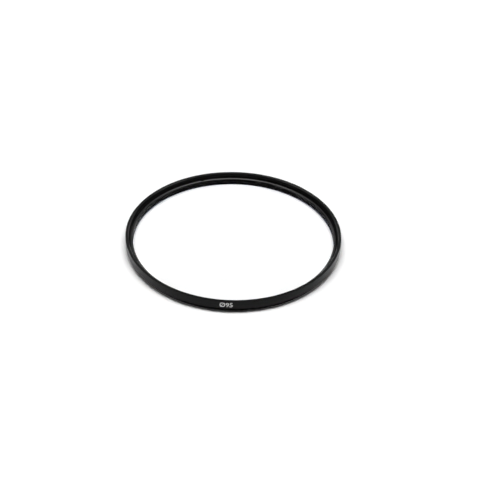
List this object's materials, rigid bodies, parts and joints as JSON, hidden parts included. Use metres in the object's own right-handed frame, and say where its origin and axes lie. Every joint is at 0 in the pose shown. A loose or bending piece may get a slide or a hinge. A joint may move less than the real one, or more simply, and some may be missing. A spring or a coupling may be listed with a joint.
{
  "type": "screw-in lens filter",
  "caption": "Screw-in lens filter: thin black turned ring with a male rear thread and a female front thread, holding a clear glass disc under a notched threaded retaining ring.",
  "frame": {"origin": "centre of the rear end, on the axis of the glass, at the plane that the filter lies on", "axes": "+Z along the axis of the glass towards the front (the female thread), +X to the right and +Y away from a viewer who reads the size marking"},
  "size_m": [0.098, 0.098, 0.0064],
  "materials": {
    "anodised_ring": "black satin anodised, turned",
    "clear_glass": "polished clear, ground edge",
    "anodised_retainer": "black semi-gloss anodised, turned",
    "white_marking": "matte printed ink"
  },
  "bodies": {
    "root": {"filter_ring": "anodised_ring", "glass_disc": "clear_glass", "retaining_ring": "anodised_retainer"}
  },
  "joints": []
}
